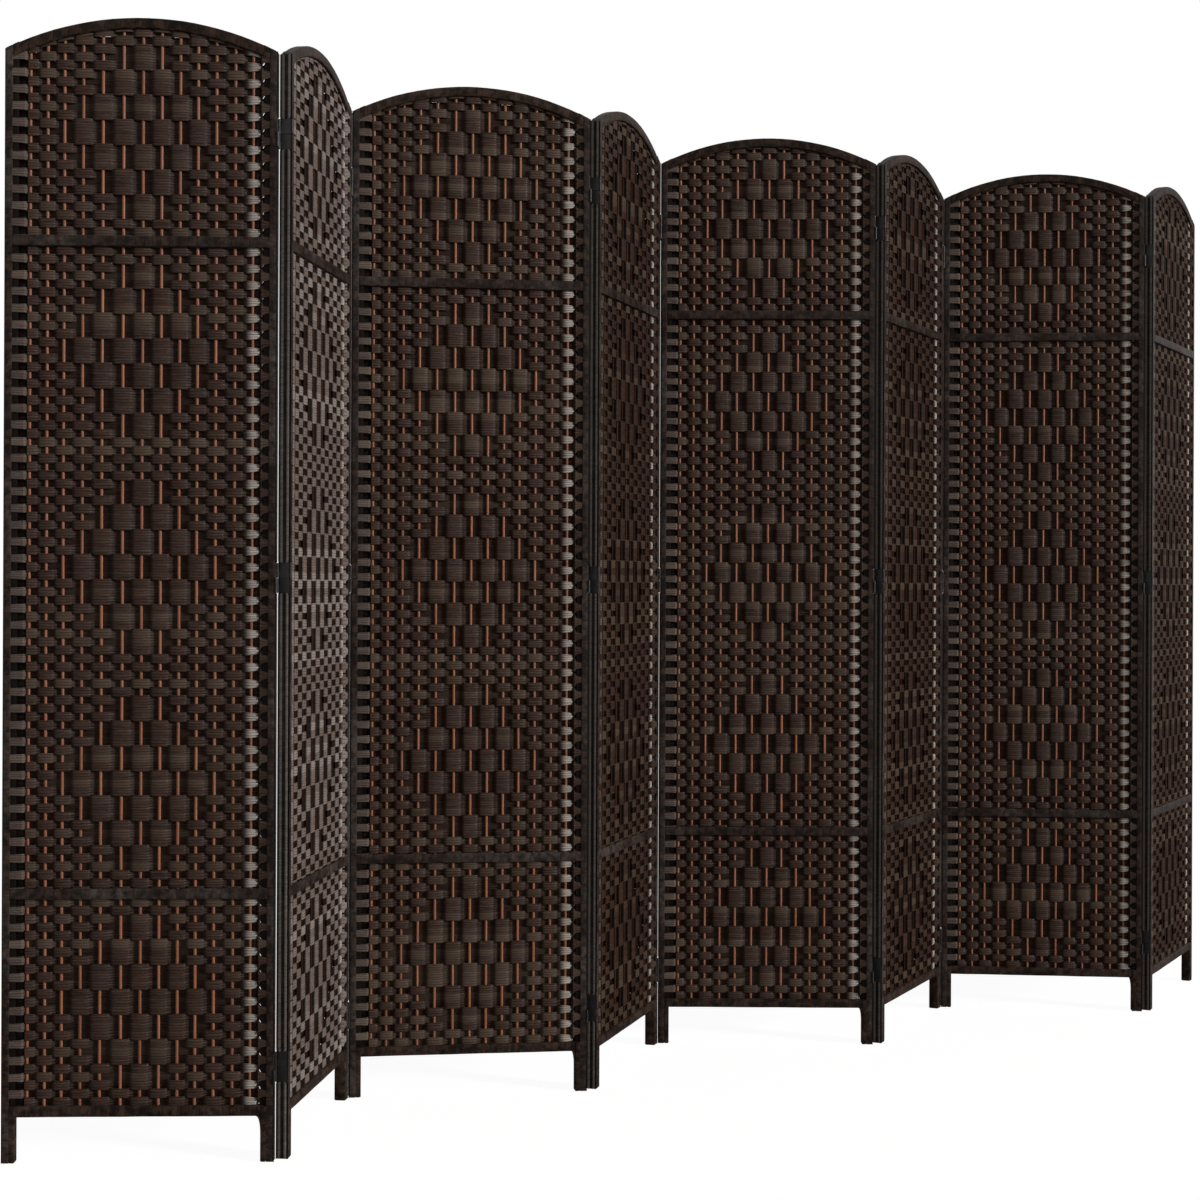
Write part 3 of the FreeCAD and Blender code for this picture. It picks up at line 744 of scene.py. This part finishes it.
# Rows of the mat: a flat rounded section carried along a line that lies level over each rod and crosses
# from face to face in the middle between two, along a smooth step (3t2 - 2t3). Under the arch the rows
# crowd together and follow it: a row's z is the soft minimum of its own level and the arch's, and each
# row thins as it nears the arch.
def matParts(number):
    beyond = mat["period"] // 2
    rows = [(centre + step * mat["pitch"], (step + beyond) % mat["period"] - beyond)
            for centre, first, last in mat["sections"] for step in range(first, last + 1)]
    rowZ, rowStep = (np.array(c, float)[:, None] for c in zip(*rows))
    count = len(rows)
    seeds = chance.random(count) * 9.0
    innerX = panel["stile"] + mat["tuck"]
    nodes = np.concatenate([[innerX], rodX, [panel["width"] - innerX]])
    atStile = len(nodes) // 2
    columns = np.arange(-atStile, atStile + 1)[None, :]
    side = np.where(runsBehind(rowStep, columns), 1.0, -1.0)
    crest = side * np.where(np.abs(columns) == atStile, mat["stileInner"], mat["crest"])
    stops = np.array(mat["stops"])
    way = np.arange((len(nodes) - 1) * len(stops) + 1)
    at = np.minimum(way // len(stops), len(nodes) - 2)
    share = np.append(np.tile(stops, len(nodes) - 1), 1.0)
    swing = np.clip((share - 0.5) / mat["crossing"] + 0.5, 0.0, 1.0)
    swing = swing * swing * (3 - 2 * swing)
    # beside a stile the crossing comes late, nearer to the right
    late = np.where((at == 0) | (at == len(nodes) - 2), 4 * share * (1 - share) * mat["late"], 0.0)
    x = nodes[at] * (1 - share) + nodes[at + 1] * share + late
    y = crest[:, at] * (1 - swing) + crest[:, at + 1] * swing
    # over the stile's inner half, on towards the cover strip
    end = panel["coverEnd"] - mat["gap"]
    endX = np.array([end, (end + innerX) / 2])
    endY = np.array([mat["stileOuter"], (mat["stileOuter"] + mat["stileInner"]) / 2])
    x = np.concatenate([endX, x, panel["width"] - endX[::-1]])
    y = np.concatenate([side[:, :1] * endY, y, side[:, -1:] * endY[::-1]], 1)
    # beside a stile a row's height follows the comb: at the left end the rows behind the stile spread, unseen,
    # and at the right end the rows in front spread while those behind narrow like a tooth
    left, right = ([np.interp(distance, comb[0], comb[layer]) for layer in (1, 2)]
                   for distance, comb in ((x, mat["leftComb"]), (panel["width"] - x, mat["rightComb"])))
    height = np.where(x < panel["width"] / 2, np.where(side[:, :1] < 0, *left),
                      np.where(side[:, -1:] < 0, *right))
    limit = archZ(x, rail["height"]) - mat["room"]
    over = (limit - rowZ) / mat["soft"]
    z = limit - mat["soft"] * np.logaddexp(0.0, over) + waver(x, mat["waver"], 150.0, seeds)
    thin = np.clip(1 / (1 + np.exp(-np.clip(over, -30, 30))), mat["thinnest"], 1.0)
    uneven = 1 + mat["uneven"] * (chance.random((count, 1)) - 0.5) + waver(x, 0.03, 45.0, seeds * 1.7)
    halfHeight = (height * thin / 2 + mat["crowded"] * (1 - thin)) * uneven
    slope = np.gradient(y, axis=1) / np.gradient(x)
    size = np.sqrt(1 + slope ** 2)
    acrossZ, acrossY = (np.array(shares) for shares in zip(*mat["section"]))
    acrossY = acrossY * mat["halfThickness"]
    ringX = x[None, :, None] - (slope / size)[..., None] * acrossY
    ringY = y[..., None] + (1 / size)[..., None] * acrossY
    ringZ = z[..., None] + halfHeight[..., None] * acrossZ
    # painted highlight: the rows that bend into the right stile behind it, and the rows in front of the left
    # stile, are painted light
    least, spread = mat["rightHighlightStrength"]
    bend = np.interp(panel["width"] - x, *mat["rightHighlight"])
    wearAndHighlight = bend * (side[:, -1:] > 0) * (least + spread * chance.random((count, 1)))
    wearAndHighlight = wearAndHighlight + mat["leftHighlightStrength"] * np.interp(x, *mat["leftHighlight"]) * (side[:, :1] < 0)
    wearAndHighlight = np.repeat(wearAndHighlight[..., None], len(acrossZ), axis=2)
    # how far a point lies below the crests of the face that it looks out of, which is painted as shade in the
    # hollows
    hollow, shadeStrength = mat["hollows"][number % 2]
    deep = shadeStrength * np.clip((mat["crest"] - y[..., None] * np.sign(acrossY)) / hollow, 0.0, 1.0)
    return [skin(np.stack([ringX, ringY, ringZ], -1), wearAndHighlight=wearAndHighlight, deep=deep)]


hinge = {
    "leafHalf": 7.0, "leafThickness": 1.2, "linkThickness": 1.0, "barrel": 1.8, "pin": 0.9, "gap": 0.3,
    "around": 14, "bevel": 0.25, "edgeBevel": 0.2, "pinShort": 1.5, "axisY": 10.0,
    # rings of a screw head from its rim inwards: share of the radius, x, and how deep the recess is cut
    "screwRadius": 2.1, "screwRings": ((1.0, 0.3, 0.0), (1.0, -0.1, 0.0), (0.7, -0.2, 0.35), (0.3, -0.2, 0.55)),
    "screwAround": 16, "screwSeat": 0.3, "screwAside": 2.5,
}
hinge["axisX"] = panel["coreEnd"] - hinge["gap"] - hinge["barrel"]
hinge["level"] = (trim["hingeHeight"] - 3 * hinge["gap"]) / 4


# Barrel: a circle carried upwards, drawn in at both ends by the bevel
def barrel(x, y, zLow, zHigh, radius, bevel=None):
    bevel = hinge["bevel"] if bevel is None else bevel
    turn = np.arange(hinge["around"]) * 2 * math.pi / hinge["around"]
    radii = np.array([radius - bevel, radius, radius, radius - bevel])
    z = np.array([zLow, zLow + bevel, zHigh - bevel, zHigh])
    ring = np.stack([np.cos(turn), np.sin(turn)], -1)
    rings = np.array([x, y]) + radii[:, None, None] * ring
    return np.concatenate([rings, np.broadcast_to(z[:, None, None], rings.shape[:2] + (1,))], -1)[None]


# Plate: an outline in y and z, carried through its thickness in x and drawn in at both faces
def plate(outline, x0, x1):
    outline = np.asarray(outline, float)[None]
    edge = hinge["edgeBevel"]
    rings = drawnIn(np.broadcast_to(outline, (4,) + outline.shape[1:]), [edge, 0.0, 0.0, edge])
    return ringsOf(np.array([x0, x0 + edge, x1 - edge, x1])[:, None], rings[..., 0], rings[..., 1])


# Countersunk screw head: rings of a low dome that looks towards -x, with a cross recess, where the points
# at each quarter of the turn are pushed in
def screwHead(y, z):
    count = hinge["screwAround"]
    turn = np.arange(count) * 2 * math.pi / count
    share, rise, cut = (np.array(column)[:, None] for column in zip(*hinge["screwRings"]))
    radii = hinge["screwRadius"] * share
    notch = (np.arange(count) % 4 == 0) * cut
    return ringsOf(hinge["screwSeat"] + rise + notch, y + radii * np.cos(turn), z + radii * np.sin(turn))


# Feet of the four knuckles and barrels that a hinge stacks
def levelsOf(centre):
    foot = centre - trim["hingeHeight"] / 2
    return [foot + i * (hinge["level"] + hinge["gap"]) for i in range(4)]


# Half a turn about the panel's upright middle line, which makes the left end's leaf the right end's
def halfTurn(rings):
    return rings * np.array([-1.0, -1.0, 1.0]) + np.array([panel["width"], 0.0, 0.0])


def leafParts(number):
    axisX, axisY, level = hinge["axisX"], hinge["axisY"], hinge["level"]
    half, aside = hinge["leafHalf"], hinge["screwAside"]
    parts = []
    for centre in hingeCentres:
        z = levelsOf(centre)
        top = z[3] + level
        outline = [(half, top), (-axisY, top), (-axisY, z[3]), (-half, z[3]), (-half, z[0]), (axisY, z[0]),
                   (axisY, z[0] + level), (half, z[0] + level)]
        solids = [plate(outline, panel["coreEnd"] - hinge["leafThickness"], panel["coreEnd"]),
                  barrel(axisX, -axisY, z[3], top, hinge["barrel"]),
                  barrel(axisX, axisY, z[0], z[0] + level, hinge["barrel"]),
                  screwHead(aside, z[3] + level / 2), screwHead(-aside, z[0] + level / 2)]
        for side in hingedSides(number):
            parts += [skin(s if side == 0 else halfTurn(s)) for s in solids]
    return parts


# Links cross the gap at the two middle levels, the upper one on panels with even numbers. Their pins run
# up or down into the knuckles
def linkParts(number):
    parts = []
    level, axisY, half = hinge["level"], hinge["axisY"], hinge["linkThickness"] / 2
    short, bevel = hinge["pinShort"], hinge["edgeBevel"]
    upper = number % 2 == 0
    for centre in hingeCentres:
        z = levelsOf(centre)
        for side in hingedSides(number):
            x = hinge["axisX"] if side == 0 else panel["width"] - hinge["axisX"]
            low = z[2] if upper else z[1]
            outline = [(-axisY, low), (axisY, low), (axisY, low + level), (-axisY, low + level)]
            parts.append(skin(plate(outline, x - half, x + half)))
            pinLow, pinHigh = (low + level, low + 2 * level - short) if upper else (low - level + short, low)
            for y in (-axisY, axisY):
                parts.append(skin(barrel(x, y, low, low + level, hinge["barrel"])))
                parts.append(skin(barrel(x, y, pinLow - bevel, pinHigh, hinge["pin"], bevel)))
    return parts


kinds = (
    ("Stiles", "stiles", "wrapped_wood", stileParts, "wood"),
    ("Rails", "rails", "wrapped_wood", railParts, "wood"),
    ("Trim", "trim_strips", "wrapped_strip", trimParts, "strip"),
    ("Rods", "rods", "stained_rod", rodParts, "rod"),
    ("Mat", "woven_mat", "woven_paper", matParts, "woven"),
    ("Leaves", "hinge_leaves", "black_steel", leafParts, "steel"),
    ("Links", "hinge_links", "black_steel", linkParts, "steel"),
)
pieces = []
for number in range(1, panel["count"] + 1):
    for title, kind, slot, parts, look in kinds:
        look = "litWoven" if (title, number) == ("Mat", 2) else look
        pieces.append(makePiece("panel%d%s" % (number, title), number, kind, parts(number), finish[look]))
    print("panel", number, "made:", sum(len(p.data.polygons) for p in pieces[-len(kinds):]), "faces")


# Camera, lamps and floor, in metres and degrees; the lens is in millimetres
stage = {
    "camera": (-2.616627, -3.168768, 0.862294), "heading": -36.2158, "roll": 0.2353, "lens": 67.557,
    "shift": (0.0038, -0.01358),
    "lamps": {"key": {"from": (0.46, -0.86, 0.21), "strength": 2.35, "angle": 10.0},
              "front": {"from": (-0.42, -0.88, 0.28), "strength": 0.25, "angle": 20.0}},
    "ambient": 0.13, "floorHalf": 40.0, "floorGlow": 1.3, "glowShare": 0.72,
}

camera = bpy.data.objects.new("camera", bpy.data.cameras.new("camera"))
bpy.context.collection.objects.link(camera)
camera.location = stage["camera"]
camera.rotation_mode = "QUATERNION"
camera.rotation_quaternion = (Quaternion((0, 0, 1), math.radians(stage["heading"]))
                              @ Quaternion((1, 0, 0), math.radians(90))
                              @ Quaternion((0, 0, 1), math.radians(stage["roll"])))
camera.data.lens = stage["lens"]
camera.data.sensor_width = 36.0
camera.data.sensor_fit = "AUTO"
camera.data.shift_x, camera.data.shift_y = stage["shift"]
camera.data.clip_end = 200.0
bpy.context.scene.camera = camera

for title, settings in stage["lamps"].items():
    light = bpy.data.lights.new(title, "SUN")
    light.energy = settings["strength"]
    light.angle = math.radians(settings["angle"])
    lamp = bpy.data.objects.new(title, light)
    lamp.rotation_mode = "QUATERNION"
    lamp.rotation_quaternion = Vector(settings["from"]).to_track_quat("Z", "Y")
    bpy.context.collection.objects.link(lamp)

world = bpy.data.worlds.new("studio")
bpy.context.scene.world = world
world.use_nodes = True
sky = Tree(world.node_tree)
world.node_tree.nodes.clear()
ray = sky.put("ShaderNodeLightPath")
seen = sky.math("MAXIMUM", sky.math("MAXIMUM", ray.outputs["Is Camera Ray"], ray.outputs["Is Glossy Ray"]),
                ray.outputs["Is Transmission Ray"])
plain = sky.put("ShaderNodeBackground", {"Color": (1, 1, 1, 1), "Strength": stage["ambient"]})
white = sky.put("ShaderNodeBackground", {"Color": (1, 1, 1, 1), "Strength": 1.0})
both = sky.put("ShaderNodeMixShader", {0: seen, 1: plain.outputs[0], 2: white.outputs[0]})
sky.put("ShaderNodeOutputWorld", {"Surface": both.outputs[0]})

# white floor, on which only a faint shadow is seen
reach = stage["floorHalf"]
floorMesh = bpy.data.meshes.new("floor")
floorMesh.from_pydata([(-reach, -reach, 0), (reach, -reach, 0), (reach, reach, 0), (-reach, reach, 0)],
                      [], [(0, 1, 2, 3)])
floor = bpy.data.objects.new("floor", floorMesh)
bpy.context.collection.objects.link(floor)
paper = bpy.data.materials.new("paperFloor")
paper.use_nodes = True
floorTree = Tree(paper.node_tree)
matt = nodeOf(paper, "BSDF_PRINCIPLED")
matt.inputs["Base Color"].default_value = (0.8, 0.8, 0.8, 1)
matt.inputs["Roughness"].default_value = 0.9
matt.inputs["Specular IOR Level"].default_value = 0.0
ray = floorTree.put("ShaderNodeLightPath")
glow = floorTree.put("ShaderNodeEmission", {"Color": (1, 1, 1, 1), "Strength": stage["floorGlow"]})
seen = floorTree.times(ray.outputs["Is Camera Ray"], stage["glowShare"])
floorMix = floorTree.put("ShaderNodeMixShader", {0: seen, 1: matt.outputs[0], 2: glow.outputs[0]})
floorTree.link(floorMix.outputs[0], nodeOf(paper, "OUTPUT_MATERIAL").inputs["Surface"])
floorMesh.materials.append(paper)

bpy.context.scene.view_settings.view_transform = "Standard"
